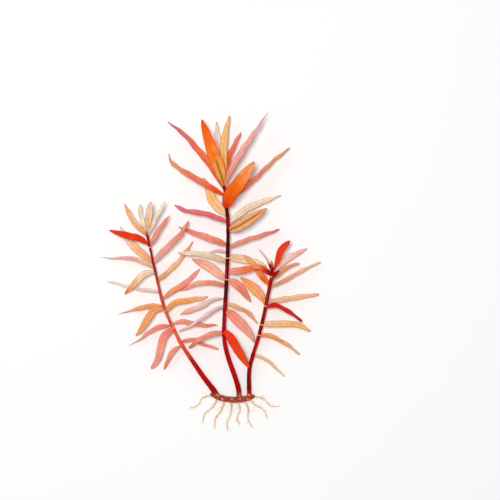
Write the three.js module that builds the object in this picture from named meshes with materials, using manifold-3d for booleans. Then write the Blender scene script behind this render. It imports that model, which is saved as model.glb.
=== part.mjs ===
// Ammannia gracilis: one aquarium plant of three leafy shoots on a creeping base, picked and lying flat.
// Millimetres. x runs across the plant, y from the roots to the shoot tips, z up from the surface.
// Places are measured from the middle of the creeping base, until the last lines set the origin.
import * as THREE from 'three';
import { mergeVertices } from 'three/addons/utils/BufferGeometryUtils.js';
import Module from 'manifold-3d';

const wasm = await Module();
wasm.setup();

// Driving dimensions
const GAP = 0.3; // between two pieces that meet
const LEAF_THICKNESS = 0.9; // at the midrib, near the stem
const TIP_THINNING = 0.6; // share of that thickness that is gone at the tip
const FOOT_FADE = 3; // how soon a blade's foot gives way to the blade's own outline
const BLADE_FOLD = 0.16; // rise of the blade's edges over its midrib, for each mm of half width
const MOST_ROLL = THREE.MathUtils.degToRad(48); // how far a blade turns its face to the shoot's tip
const STEM_TAPER = 2; // how early a stem thins from its foot's radius to its bud's
const NODE_SWELLING = 0.16; // share by which a stem is thicker at a node
const NODE_REACH = 2.6; // distance along the stem over which a node's swelling fades
const COLLAR = 8; // length of each stem's foot that is one piece with the creeping base
const BASE_RADIUS = 3; // of the creeping base
const BASE_END = 0.2; // the least share of the base's cross-section area, at its ends
const BASE_ROUNDING = 6; // how late the base rounds off towards its ends
const ROOT_RADIUS = 1; // of a main root where it leaves the base
const ROOT_TIP_RADIUS = 0.4;
const ROUGHNESS = 0.55; // of every surface: waxy, not shiny

// The plant's origin: the middle of its box on the surface, seen from the middle of the creeping base
const BOX_MIDDLE = { x: -29.8, y: 127.2 };

// How finely the forms are divided
const LEAF_SIDES = 4;
const LEAF_STEPS = 12;
const STEM_SIDES = 8;
const STEM_STEP = 5; // mm of stem for each ring
const COLLAR_STEPS = 2;
const BASE_STEPS = 12;
const ROOT_SIDES = 6;
const ROOT_STEPS = 6;
const HEIGHT_SEARCH_END = 1e-9; // share of a stem's length at which a search along it ends

// Blade outlines: width of the foot, how fast the blade widens and how fast it narrows to its tip
const OUTLINES = {
  lance: { foot: 0.42, widen: 0.5, narrow: 0.75 },
  taper: { foot: 0.5, widen: 0.35, narrow: 0.75 },
  full: { foot: 0.45, widen: 0.35, narrow: 0.65 },
  broad: { foot: 0.3, widen: 0.33, narrow: 0.6 },
  blunt: { foot: 0.3, widen: 0.38, narrow: 0.6 },
  strap: { foot: 0.6, widen: 0.22, narrow: 0.42 },
  spoon: { foot: 0.2, widen: 0.9, narrow: 0.65 },
  thread: { foot: 0.42, widen: 0.55, narrow: 1.5 },
  tail: { foot: 0.42, widen: 0.45, narrow: 1 },
};

const COLOURS = {
  orange: 0xf5660f,
  flame: 0xe83c12,
  coral: 0xf28462,
  rose: 0xe4606a,
  blush: 0xf3bdb2,
  peach: 0xf6cf9f,
  amber: 0xf2a24b,
  scarlet: 0xc2121a,
  stem: 0x9c1418,
  root: 0xe9d3ae,
};

// Each stem's route from the creeping base to its bud, as [x, y, z], with its radius at foot and bud
const STEMS = {
  left: {
    route: [
      [-22, 2.5, 3], [-27, 10, 3.6], [-36.5, 22.5, 4.6], [-48.5, 40, 5.8], [-59, 56, 6.8], [-67.5, 73, 7.8],
      [-74.5, 88.5, 8.6], [-79, 103, 9.2], [-82.5, 118.5, 9.8], [-86.5, 136, 10.3], [-90.5, 154.5, 10.8],
      [-93.5, 169, 11],
    ],
    radius: [2.9, 1.1],
    blade: 7,
  },
  middle: {
    route: [
      [-1, 1, 3], [-1.5, 10, 3.6], [-5.5, 24, 5], [-11, 39.5, 6.6], [-15.5, 58, 8.4], [-16, 75, 10],
      [-15, 93, 11.2], [-13.5, 120, 12.4], [-12.5, 142, 13], [-12, 160, 13.6], [-12, 178, 14.2],
      [-13.5, 193, 14.6], [-14.5, 206, 15], [-15.5, 215, 15.2],
    ],
    radius: [2.6, 1.6],
    blade: 8.5,
  },
  right: {
    route: [
      [9.5, 2, 3], [9, 12, 3.6], [9.5, 31.5, 5], [13, 45, 6.4], [19, 65, 8.4], [24.3, 87, 10],
      [28, 105.5, 11], [31, 120, 11.7], [33, 129, 12],
    ],
    radius: [2.3, 1.6],
    blade: 7,
  },
};

// One leaf. node is the height on the stem where it grows, span the blade's width as seen from above,
// arch its rise over a straight line, tip the height of its point over the surface, and plan the places
// that its midrib passes, seen from above. A place on a leaf that grows from the stem's upper side has a
// height of its own, so that the blade clears the stem.
function leaf(colour, node, span, arch, tip, plan, outline = 'lance') {
  return { colour, node, span, arch, tip, plan, outline };
}

// The leaves, from each shoot's tip down
const LEAVES = {
  left: [
    leaf('coral', 163, 5.8, 0, 4, [[-106.6, 178.6], [-116.2, 196.6]]),
    leaf('flame', 155, 7, 8, 8, [[-101.5, 162], [-110, 163.8], [-131.5, 169.8]]),
    leaf('coral', 153.5, 5, 4, 13, [[-81.6, 168.5], [-75.6, 177.5], [-69.6, 184.8]], 'taper'),
    leaf('peach', 137, 8, -2, 2, [[-99.5, 147.5], [-109.3, 156.7], [-120.7, 173.8]]),
    leaf('blush', 131.5, 4, 2, 1.5, [
      [-100, 139], [-113.5, 142], [-127, 141.5], [-140.5, 143],
    ], 'thread'),
    leaf('coral', 137.5, 5.7, 6, 12, [[-75, 150], [-63.5, 161], [-56, 170], [-51.5, 179]], 'strap'),
    leaf('orange', 128, 6.3, 7, 5, [[-95.5, 126], [-104.5, 117], [-116, 105.5]]),
    leaf('coral', 119, 4.6, 0, 2, [[-70.5, 129.5], [-60, 140], [-47, 158.5]], 'strap'),
    leaf('blush', 108.5, 3.4, -1, 1.5, [[-97, 110], [-112, 113], [-133, 118.5]], 'strap'),
    leaf('coral', 100.5, 5, 3, 4, [[-67, 109.2], [-55.6, 116.2], [-39.7, 131.5]]),
    leaf('orange', 94, 5, 0, 1, [[-88.5, 93.4], [-95, 92.8], [-106, 90], [-123, 85.4]], 'thread'),
    leaf('orange', 91, 7, 7, 6, [[-85, 90.3], [-90.5, 84], [-98, 71.8], [-104.7, 63.6]]),
    leaf('amber', 87.5, 5.2, 3, 3, [[-69, 94.4], [-61.5, 97.8], [-48.5, 99.8], [-32, 103]], 'strap'),
    leaf('coral', 74.5, 4.5, 1, 1, [[-82.5, 72], [-90, 68], [-100, 60.5], [-112, 53.5]], 'thread'),
    leaf('coral', 71.5, 7.2, 6, 3, [[-75.9, 63.5], [-79.3, 53], [-82, 41.5], [-89, 30.6]], 'strap'),
    leaf('coral', 55, 4.6, 2, 1, [[-67.5, 47.5], [-72.5, 38.5], [-76.5, 29.5]]),
    leaf('coral', 76, 4.8, 2, 2, [[-57.5, 78], [-46.5, 76], [-37.5, 74.5], [-22.5, 74.5]]),
    leaf('coral', 58, 3.7, 0, 1, [[-45.7, 59.6], [-37.8, 55.6], [-21.2, 50.2]], 'strap'),
  ],
  middle: [
    leaf('rose', 209, 6.4, -1, 3, [[-30, 234.5], [-45, 253], [-54.5, 264], [-73, 279]], 'taper'),
    leaf('orange', 213.5, 11.8, 12, 22, [[-21.5, 233], [-28, 249.5], [-32.5, 263], [-38, 280]], 'full'),
    leaf('coral', 211, 5.8, 8, 16, [[-11.5, 224, 20], [-6, 235], [6.5, 254.5], [28, 287.5]], 'tail'),
    leaf('coral', 203.5, 6.4, 4, 4, [
      [-27.7, 211.2], [-47, 222.3], [-64, 233.4], [-69.4, 239], [-71.8, 247],
    ]),
    leaf('orange', 191, 13.5, 10, 28, [
      [-13.4, 194, 19], [-9.4, 205], [-2.8, 213.5], [6.5, 226.5], [14.5, 237.5],
    ], 'blunt'),
    leaf('coral', 198, 4, 2, 7, [[1, 208.5], [18.5, 224.5], [35, 240.5], [50, 252.5]], 'strap'),
    leaf('peach', 184, 9.6, -3, 1.5, [[-26.6, 198.6], [-30.6, 208.6], [-36.6, 222.8]], 'full'),
    leaf('rose', 177.5, 5.4, 3, 4, [[-34, 185.5], [-55.5, 189.5], [-66, 195]], 'strap'),
    leaf('amber', 169.5, 10, 8, 20, [[-2, 173.5], [8, 179.5], [27, 191.5]], 'full'),
    leaf('peach', 176, 6.6, -1, 4, [[-7, 180], [8, 191.5], [20.5, 197], [41.5, 205]]),
    leaf('rose', 154.5, 6.4, 3, 3, [[-34, 162.5], [-53.5, 169.5], [-62, 173.5]], 'taper'),
    leaf('rose', 152, 4.3, 3, 5, [[-2, 156.5], [10.5, 161], [31, 167.5], [39.5, 171]], 'strap'),
    leaf('blush', 148, 3, -2, 4, [[-24, 149], [-33, 146.5]]),
    leaf('peach', 138, 5.6, 5, 10, [[-29, 143.5], [-39, 145.5], [-62, 147]], 'strap'),
    leaf('peach', 142, 8, -3, 1.5, [[-2, 141.5], [15.5, 137.5], [27, 133.5]], 'broad'),
    leaf('coral', 119.5, 9, 4, 3, [[-22.5, 127], [-30.5, 133], [-48.5, 141]]),
    leaf('coral', 128, 7, 4, 13, [[-1.5, 129], [12, 131.2], [20, 131.6]], 'broad'),
    leaf('coral', 114, 4.6, 2, 2.5, [
      [-27, 116.8], [-40, 116.6], [-51, 113.3], [-69.4, 106.9],
    ], 'strap'),
    leaf('coral', 120.5, 8, 3, 5, [[-5.8, 117.2], [0.9, 111.4], [10.8, 97.8]], 'taper'),
    leaf('coral', 101.5, 5.4, 2, 3, [[-25.2, 100.7], [-42.6, 92], [-60.3, 85.2]], 'spoon'),
    leaf('blush', 94, 3, 6, 9, [[-22, 92], [-30.5, 87], [-46.5, 76], [-61.5, 68.5]], 'strap'),
    leaf('amber', 97, 4, 1, 4, [[-3.4, 92.6], [7.3, 87.5], [17.7, 76]], 'strap'),
    leaf('coral', 90.5, 9.5, 7, 8, [[-7.9, 85], [0.6, 76.9], [11.6, 63.8], [14, 57.3]], 'taper'),
    leaf('coral', 67.5, 5, 8, 5, [[-26.7, 66], [-40.2, 60.6], [-51.6, 51.8]], 'strap'),
    leaf('flame', 70.5, 9, 9, 14, [[-14.5, 68.5, 14], [-10, 63.5], [-1.5, 49.5], [10, 31.5]]),
  ],
  right: [
    leaf('flame', 127, 7, 5, 20, [[36, 135.5], [41.5, 150.5], [50, 159.5]], 'spoon'),
    leaf('blush', 125, 6, -1, 4, [[43, 138], [51.5, 143.5], [67.5, 151.5]]),
    leaf('orange', 119, 4, 1, 5, [[39, 126], [46, 132], [59.5, 136.5]], 'strap'),
    leaf('coral', 113, 3.3, 3, 4, [[43, 119], [63, 130], [81, 138]], 'strap'),
    leaf('flame', 125, 5.7, 6, 18, [[24.5, 129.8], [19, 133], [11, 132]]),
    leaf('orange', 114.5, 6, 1, 8, [[22, 123], [15, 133], [3.5, 145]], 'strap'),
    leaf('amber', 95.5, 9.5, 4, 5, [[20.3, 104.9], [14.3, 111.4], [0.2, 122.6]]),
    leaf('peach', 98.5, 4.6, -1, 3, [[35, 99], [51, 101.5], [79.5, 105.5]], 'strap'),
    leaf('scarlet', 92.5, 4.5, 5, 5, [[35, 94.5], [41.5, 92], [51, 86.5], [62.5, 78]], 'strap'),
    leaf('amber', 75.5, 5.8, 3, 2, [[32, 76], [44.5, 76], [56, 75.5], [71, 68.5]], 'strap'),
    leaf('orange', 64, 4.2, 1, 1, [[28, 64.4], [37.9, 60.2], [49.6, 53.2], [60.3, 44.6]], 'strap'),
    leaf('peach', 44.5, 3, 1, 1, [[22.5, 42], [30.5, 36.5], [45, 22.5]], 'strap'),
  ],
};

// The youngest leaves, one piece with the bud that they grow from
const YOUNG_LEAVES = {
  left: [
    leaf('peach', 166, 3.8, 1, 12, [[-97.5, 178], [-100, 186.5], [-99.5, 195.5]], 'spoon'),
    leaf('blush', 167, 7.4, 5, 24, [[-90.5, 185], [-88.5, 198]], 'spoon'),
    leaf('peach', 165, 4.8, 3, 18, [[-84, 181], [-74, 198.5]], 'blunt'),
  ],
  middle: [
    leaf('blush', 211, 6.2, -1, 5, [[-20, 238], [-22.5, 257.5], [-23.5, 278.5]], 'spoon'),
    leaf('amber', 212, 8, 0, 8, [[-16.5, 246.5], [-15.5, 260], [-10.5, 285]], 'blunt'),
    leaf('flame', 212, 5.6, -3, 9, [[-13.5, 226], [-9.5, 246.5], [-4, 257.5], [1, 268]], 'spoon'),
  ],
  right: [
    leaf('blush', 126, 2.3, 1, 8, [[28, 138], [24, 144.5], [18.6, 150.8]]),
    leaf('scarlet', 126, 3.8, 2, 16.5, [[31.4, 131.5], [28.4, 137.2]]),
    leaf('amber', 127, 3.2, 0, 13, [[32, 134], [31.2, 139.8]]),
    leaf('scarlet', 122, 3.6, 1, 18, [[35, 126], [39.4, 130]]),
  ],
};

// The creeping base and its main roots, as [x, y, z]
const BASE_ROUTE = [[-30, 6, 3], [-22, 2.5, 3], [-10, 0, 3], [0, 0, 3], [9, 2, 3], [15, 4, 3]];
const ROOTS = [
  [[-27, 4.5, 2.6], [-37, 2, 1.6], [-43, -6, 1.2], [-51, -9, 0.6]],
  [[-22, 2.5, 2.6], [-28, -8, 1.5], [-35, -14, 1.1], [-38, -25, 0.6]],
  [[-15, 1, 2.6], [-19, -11, 1.4], [-25, -20, 1], [-25, -30, 0.6]],
  [[-9, 0, 2.6], [-9, -13, 1.4], [-13, -23, 1], [-12, -33, 0.6]],
  [[-3, 0, 2.6], [0, -10, 1.4], [-3, -19, 1], [0, -26, 0.6]],
  [[3, 0.5, 2.6], [8, -9, 1.4], [8, -20, 1], [13, -29, 0.6]],
  [[8, 2, 2.6], [16, -6, 1.5], [23, -10, 1.1], [28, -20, 0.6]],
  [[13, 3.5, 2.6], [23, 1, 1.5], [30, -6, 1.1], [40, -7, 0.6]],
];

const UP = new THREE.Vector3(0, 0, 1);

function toVectors(points) {
  return points.map(([x, y, z]) => new THREE.Vector3(x, y, z));
}

// A closed body from a cylinder whose every point is moved to place(along, angle, rim), where along
// runs from 0 to 1 and rim is 0 in the middle of an end. A pointed body ends in one point.
function sweep(sides, steps, pointed, place) {
  const geometry = new THREE.CylinderGeometry(pointed ? 0 : 1, 1, 1, sides, steps);
  const position = geometry.attributes.position;
  for (let i = 0; i < position.count; i += 1) {
    const x = position.getX(i);
    const z = position.getZ(i);
    const rim = Math.sign(Math.hypot(x, z));
    const point = place(position.getY(i) + 0.5, Math.atan2(z, x), rim);
    position.setXYZ(i, point.x, point.y, point.z);
  }
  geometry.computeVertexNormals();
  return geometry;
}

// Side and upper directions across a route that runs along `forward`
function across(forward) {
  const side = new THREE.Vector3().crossVectors(forward, UP).normalize();
  const upper = new THREE.Vector3().crossVectors(side, forward);
  return { side, upper };
}

// A round body along part of a curve
function tube({ curve, from, to, sides, steps, pointed, radius }) {
  return sweep(sides, steps, pointed, (along, angle, rim) => {
    const at = from + (to - from) * along;
    const { side, upper } = across(curve.getTangentAt(at));
    const reach = radius(at) * rim;
    return curve.getPointAt(at)
      .addScaledVector(side, reach * Math.cos(angle))
      .addScaledVector(upper, reach * Math.sin(angle));
  });
}

// Where along a stem's curve its height, y, is reached
function placeAtHeight(curve, height) {
  let low = 0;
  let high = 1;
  while (high - low > HEIGHT_SEARCH_END) {
    const middle = (low + high) / 2;
    if (curve.getPointAt(middle).y < height) low = middle;
    else high = middle;
  }
  return low;
}

function smoothCurve(points) {
  return new THREE.CatmullRomCurve3(points, false, 'centripetal');
}

// A stem's curve, its length, its radius at each place from 0 to 1, and the width of its leaves
function makeStem(shoot) {
  const { route, radius: [footRadius, budRadius], blade } = STEMS[shoot];
  const curve = smoothCurve(toVectors(route));
  const length = curve.getLength();
  const nodes = LEAVES[shoot].map((row) => placeAtHeight(curve, row.node));
  const radius = (at) => {
    const swellings = nodes.map((node) => Math.exp(-(((at - node) * length / NODE_REACH) ** 2)));
    const bare = THREE.MathUtils.lerp(footRadius, budRadius, 1 - (1 - at) ** STEM_TAPER);
    return bare * (1 + NODE_SWELLING * Math.max(...swellings));
  };
  return { curve, length, radius, blade };
}

// The midrib's curve starts on the stem's axis. The blade starts where the midrib clears the stem.
function makeMidrib({ node, arch, tip, plan: leafPlan }, stem) {
  const at = placeAtHeight(stem.curve, node);
  const origin = stem.curve.getPointAt(at);
  const plan = [[origin.x, origin.y], ...leafPlan];
  const travelled = [0];
  for (let i = 1; i < plan.length; i += 1) {
    const step = Math.hypot(plan[i][0] - plan[i - 1][0], plan[i][1] - plan[i - 1][1]);
    travelled.push(travelled[i - 1] + step);
  }
  const points = plan.map(([x, y, z], i) => {
    const share = travelled[i] / travelled.at(-1);
    const height = THREE.MathUtils.lerp(origin.z, tip, share) + 4 * arch * share * (1 - share);
    return new THREE.Vector3(x, y, z ?? height);
  });
  return { curve: smoothCurve(points), axis: stem.curve.getTangentAt(at), radius: stem.radius(at) };
}

// Half the width of a blade, as a share of its widest, from its foot at 0 to its tip at 1
function bladeShare({ foot, widen, narrow }, along) {
  const rise = (share) => share ** widen * (1 - share) ** narrow;
  const widest = rise(widen / (widen + narrow));
  return Math.hypot(foot * (1 - along) ** FOOT_FADE, rise(along) / widest);
}

// A blade seen narrower than the shoot's usual blade is turned about its midrib, with its upper face
// towards the shoot's tip.
function makeLeaf(row, stem, fused) {
  const { curve, axis, radius } = makeMidrib(row, stem);
  const outline = OUTLINES[row.outline];
  const width = THREE.MathUtils.clamp(stem.blade, row.span, row.span / Math.cos(MOST_ROLL));
  const leaving = curve.getTangentAt(0);
  const lean = Math.abs(leaving.dot(axis));
  const clear = (radius + GAP + outline.foot * width / 2 * lean) / Math.sqrt(1 - lean * lean);
  const start = fused ? 0 : clear / curve.getLength();
  const tipSide = Math.sign(new THREE.Vector3().crossVectors(leaving, UP).dot(axis)) || 1;
  const roll = tipSide * Math.acos(row.span / width);
  return sweep(LEAF_SIDES, LEAF_STEPS, true, (along, angle, rim) => {
    const at = start + (1 - start) * along;
    const forward = curve.getTangentAt(at);
    const { side, upper } = across(forward);
    side.applyAxisAngle(forward, roll);
    upper.applyAxisAngle(forward, roll);
    const sideways = Math.cos(angle) * width / 2 * bladeShare(outline, along) * rim;
    const thick = LEAF_THICKNESS / 2 * (1 - TIP_THINNING * along) * rim;
    return curve.getPointAt(at)
      .addScaledVector(side, sideways)
      .addScaledVector(upper, Math.sin(angle) * thick + BLADE_FOLD * Math.abs(sideways));
  });
}

// Joins several closed bodies that overlap into one
function fuse(geometries) {
  const solids = geometries.map((geometry) => {
    const bare = geometry.clone();
    bare.deleteAttribute('normal');
    bare.deleteAttribute('uv');
    const merged = mergeVertices(bare);
    return new wasm.Manifold(new wasm.Mesh({
      numProp: 3,
      vertProperties: new Float32Array(merged.attributes.position.array),
      triVerts: new Uint32Array(merged.index.array),
    }));
  });
  const mesh = solids.reduce((whole, solid) => whole.add(solid)).getMesh();
  const joined = new THREE.BufferGeometry();
  joined.setAttribute('position', new THREE.BufferAttribute(mesh.vertProperties, 3));
  joined.setIndex(new THREE.BufferAttribute(mesh.triVerts, 1));
  joined.computeVertexNormals();
  return joined;
}

// The creeping base, thick in the middle and rounded off at both ends
function makeBase() {
  const radius = (at) => BASE_RADIUS * Math.sqrt(Math.max(BASE_END, 1 - (2 * at - 1) ** BASE_ROUNDING));
  const curve = smoothCurve(toVectors(BASE_ROUTE));
  return tube({ curve, from: 0, to: 1, sides: STEM_SIDES, steps: BASE_STEPS, pointed: true, radius });
}

function makeRoot(route) {
  const radius = (at) => THREE.MathUtils.lerp(ROOT_RADIUS, ROOT_TIP_RADIUS, at);
  const curve = smoothCurve(toVectors(route));
  return tube({ curve, from: 0, to: 1, sides: ROOT_SIDES, steps: ROOT_STEPS, pointed: true, radius });
}

// The lowest stretch of a stem, which is one piece with the creeping base
function makeCollar({ curve, length, radius }) {
  const to = COLLAR / length;
  return tube({ curve, from: 0, to, sides: STEM_SIDES, steps: COLLAR_STEPS, pointed: false, radius });
}

function makeShaft({ curve, length, radius }) {
  const from = (COLLAR + GAP) / length;
  const steps = Math.round(length / STEM_STEP);
  return tube({ curve, from, to: 1, sides: STEM_SIDES, steps, pointed: true, radius });
}

function makeMesh(name, colour, geometry) {
  const material = new THREE.MeshStandardMaterial({ color: COLOURS[colour], roughness: ROUGHNESS });
  const mesh = new THREE.Mesh(geometry, material);
  mesh.name = name;
  return mesh;
}

const plant = new THREE.Group();
const crownPieces = [makeBase(), ...ROOTS.map(makeRoot)];

for (const shoot of Object.keys(STEMS)) {
  const stem = makeStem(shoot);
  crownPieces.push(makeCollar(stem));
  const young = YOUNG_LEAVES[shoot].map((row) => makeLeaf(row, stem, true));
  plant.add(makeMesh(`${shoot}_stem`, 'stem', fuse([makeShaft(stem), ...young])));
  LEAVES[shoot].forEach((row, i) => {
    const name = `${shoot}_leaf_${String(i + 1).padStart(2, '0')}`;
    plant.add(makeMesh(name, row.colour, makeLeaf(row, stem, false)));
  });
}

plant.add(makeMesh('crown', 'root', fuse(crownPieces)));
plant.position.set(-BOX_MIDDLE.x, -BOX_MIDDLE.y, 0);

export default plant;
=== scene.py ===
"""Ammannia gracilis, picked and lying flat: the looks of its leaves, stems, base and roots."""

import math
import random
from collections import namedtuple

import bpy
import numpy as np
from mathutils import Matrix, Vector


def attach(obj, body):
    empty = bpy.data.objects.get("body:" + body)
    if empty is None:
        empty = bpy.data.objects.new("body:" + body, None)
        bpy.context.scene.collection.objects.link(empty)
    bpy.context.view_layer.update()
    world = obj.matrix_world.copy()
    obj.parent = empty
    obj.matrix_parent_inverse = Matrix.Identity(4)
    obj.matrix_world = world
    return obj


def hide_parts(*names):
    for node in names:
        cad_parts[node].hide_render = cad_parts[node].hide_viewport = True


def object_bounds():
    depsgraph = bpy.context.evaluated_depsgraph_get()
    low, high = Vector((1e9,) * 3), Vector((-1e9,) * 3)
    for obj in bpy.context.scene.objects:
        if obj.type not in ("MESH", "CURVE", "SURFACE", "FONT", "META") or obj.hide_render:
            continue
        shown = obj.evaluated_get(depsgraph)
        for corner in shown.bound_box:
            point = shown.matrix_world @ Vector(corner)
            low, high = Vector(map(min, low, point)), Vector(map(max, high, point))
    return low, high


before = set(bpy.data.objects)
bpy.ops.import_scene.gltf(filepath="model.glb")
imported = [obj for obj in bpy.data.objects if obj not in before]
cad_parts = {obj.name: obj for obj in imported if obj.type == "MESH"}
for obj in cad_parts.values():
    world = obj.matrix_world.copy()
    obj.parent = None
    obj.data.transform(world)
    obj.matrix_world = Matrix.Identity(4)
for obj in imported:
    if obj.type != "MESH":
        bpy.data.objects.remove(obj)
cad_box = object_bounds()

# Places and sizes are in millimetres, measured from the middle of the creeping base as the solids are
MM = 0.001
BOX_MIDDLE = np.array([-29.8, 127.2, 0.0])  # the frame's origin, seen from the middle of the base
UP = np.array([0.0, 0.0, 1.0])

# Driving dimensions, as the solids have them
GAP = 0.3  # between a leaf and its stem
FOOT_FADE = 3  # how soon a blade's foot gives way to the blade's own outline
BLADE_FOLD = 0.16  # rise of the blade's edges over its midrib, for each mm of half width
MOST_ROLL = math.radians(48)  # how far a blade turns its face to the shoot's tip
STEM_TAPER = 2  # how early a stem thins from its foot's radius to its bud's
NODE_SWELLING = 0.16  # share by which a stem is thicker at a node
NODE_REACH = 2.6  # distance along the stem over which a node's swelling fades
COLLAR = 8  # length of each stem's foot that is one piece with the creeping base
BASE_RADIUS = 3
ROOT_RADIUS = 1.0  # of a main root where it leaves the base
ROOT_TIP_RADIUS = 0.4

# Finer form of a blade
BLADE_HALF_THICKNESS = 0.17
MIDRIB_DEPTH = 0.42  # how far the midrib stands out under the blade, at its foot
MIDRIB_HALF_WIDTH = 0.4
MIDRIB_FADE = 0.7  # share of the midrib's depth that is gone at the tip
GROOVE_DEPTH = 0.16  # of the groove over the midrib
FOLD_ROUNDING = 0.05  # of the fold along the midrib, in square mm
VEIN_SPACING = 3.1  # between side veins along the midrib
VEIN_SLANT = 1.5  # how far along a side vein runs for each mm that it runs out
PUFF = 0.07  # how far the blade swells up between its side veins
PUFF_START = 0.6  # distance from the midrib from which it swells so far
WAVE_LENGTH = 17  # of the waves along the margins
WAVE_HEIGHT = 0.55
WAVE_HALF_WIDTH = 2  # half width from which a blade has waves of that height
MARGIN_UNEVENNESS = 0.05  # share by which a blade's half width varies
MOST_TWIST = 9  # degrees that a blade turns about its midrib from foot to tip, either way
FOOT_DEPTH = 0.7  # distance from the stem's axis to a blade's start, as a share of the stem's radius
LEAST_HEIGHT = 0.12  # of any point over the surface
RIM_BLADE = 8  # width of the narrowest blade whose darker rim is drawn at its full width
BLADE_ROWS = 64
ROW_CROWDING = 1.15  # over 1, the rows lie closer together towards the tip
BLADE_COLUMNS = (-1, -0.965, -0.88, -0.72, -0.52, -0.32, -0.16, -0.06,
                 0.06, 0.16, 0.32, 0.52, 0.72, 0.88, 0.965, 1)

# Finer form of the stems
STEM_STEP = 0.7
STEM_SIDES = 28
STEM_EDGES = 4
STEM_RIB = 0.05  # share by which a stem's edges stand out
STEM_WINDING = 2  # radians that the edges wind round the stem from foot to bud
STEM_LUMPS = 0.03  # share by which a stem's radius varies
SCAR_PINCH = 0.2  # share by which a stem is pinched at a leaf scar
SCAR_REACH = 0.8  # distance along the stem over which a scar's pinch fades
BUD_ROUNDING = 2.2  # length over which a stem rounds off at its bud
LEAST_END = 0.02  # share of the cross-section's area that is left at a rounded end
COLLAR_RINGS = 16

# Finer form of the creeping base
BASE_RINGS = 90
BASE_ROUNDING = 6  # how late the base rounds off towards its ends
BASE_END = 0.004  # the least share of its cross-section's area
BASE_BARK = 0.985  # share of its radius between the lumps and ring scars
BASE_LUMPS = 0.04  # share by which its radius varies
RING_SPACING = 9  # between ring scars
RING_HEIGHT = 0.07  # share by which a ring scar stands out
RING_REACH = 0.8  # distance along the base over which a ring scar fades

# Finer form of the main roots, and the rootlets
ROOT_RINGS = 48
ROOT_SIDES = 10
ROOT_LUMPS = 0.08  # share by which a root's radius varies
ROOT_BLUNTNESS = 14  # how late a root rounds off at its tip
ROOT_LEAST_HEIGHT = 0.03
ROOTLET_RINGS = 12
ROOTLET_SIDES = 5
ROOTLET_RADIUS = 0.15
ROOTLET_THINNING = 0.65  # share of that radius that is gone at the tip
ROOTLET_SPACING = 1.15
FIRST_ROOTLET = 3  # places from the root's start, so that the base has none
ROOTLET_LENGTHS = (3, 9)
ROOTLET_LONGEST = 1.1  # share of those lengths at the root's start
ROOTLET_SHORTENING = 0.6  # how much of that share is lost towards the root's tip
ROOTLET_BENDS = 5
ROOTLET_LEAVING = (0.5, 1.3)  # radians between a rootlet's start and its root
ROOTLET_WANDER = 0.55  # the most that a rootlet turns at each bend, in radians
ROOTLET_SINKING = 0.6  # share of its height that is left after each bend
ROOTLET_LEAST_HEIGHT = 0.2
ROOTLET_FRONT = -32.7  # the lowest y that a rootlet reaches

# Width of the foot, how fast a blade widens, and how fast it narrows to its tip
OUTLINES = {
    "lance": (0.42, 0.5, 0.75),
    "taper": (0.5, 0.35, 0.75),
    "full": (0.45, 0.35, 0.65),
    "broad": (0.3, 0.33, 0.6),
    "blunt": (0.3, 0.38, 0.6),
    "strap": (0.6, 0.22, 0.42),
    "spoon": (0.2, 0.9, 0.65),
    "thread": (0.42, 0.55, 1.5),
    "tail": (0.42, 0.45, 1),
}

PALETTE = {
    "ivory": "FFF1D8",
    "cream": "FBE6C6",
    "petal": "FCE0DA",
    "peach": "FACB9C",
    "honey": "F8C27C",
    "amber": "F8AC5A",
    "tan": "F3A873",
    "apricot": "FAA468",
    "orange": "F97612",
    "melon": "F97B50",
    "vivid": "FB5606",
    "flame": "EC380C",
    "poppy": "DC2416",
    "scarlet": "C41218",
    "ruby": "9E0608",
    "garnet": "8E0A12",
    "wine": "6E0608",
    "maroon": "4A070C",
    "ink": "1C0405",
    "crimson": "C40C12",
    "ember": "D95F35",
    "brick": "B2281A",
    "coral": "F5866A",
    "salmon": "F79E88",
    "shrimp": "FAB596",
    "rose": "EC767A",
    "mauve": "CF7280",
    "pink": "F8AFA8",
    "blush": "F7CFC7",
    "olive": "96620F",
    "bark": "A8563A",
    "straw": "EBD7B4",
}

# Linear colours that the leaves' own are mixed with, and those of the floor
VEIN_SHADE = [0.35, 0.02, 0.02, 1]
RIB_SHADE = [0.36, 0.05, 0.02, 1]
RIM_SHADE = [0.3, 0.08, 0.05, 1]
FLOOR_SHADES = [0.95, 0.95, 0.945, 1], [0.98, 0.98, 0.975, 1]

# Scales of the noise that mottles a leaf, for each metre, from coarse to fine; stems share the grain
UNEVEN_WASH = 95
BLOTCHES = 210
GRAIN = 2600
BUMP_STRENGTH = 0.6

Leaf = namedtuple("Leaf", "wash node span arch tip plan outline rib", defaults=["lance", 0.0])
Stem = namedtuple("Stem", "route radius blade wash streaks scars")

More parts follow.
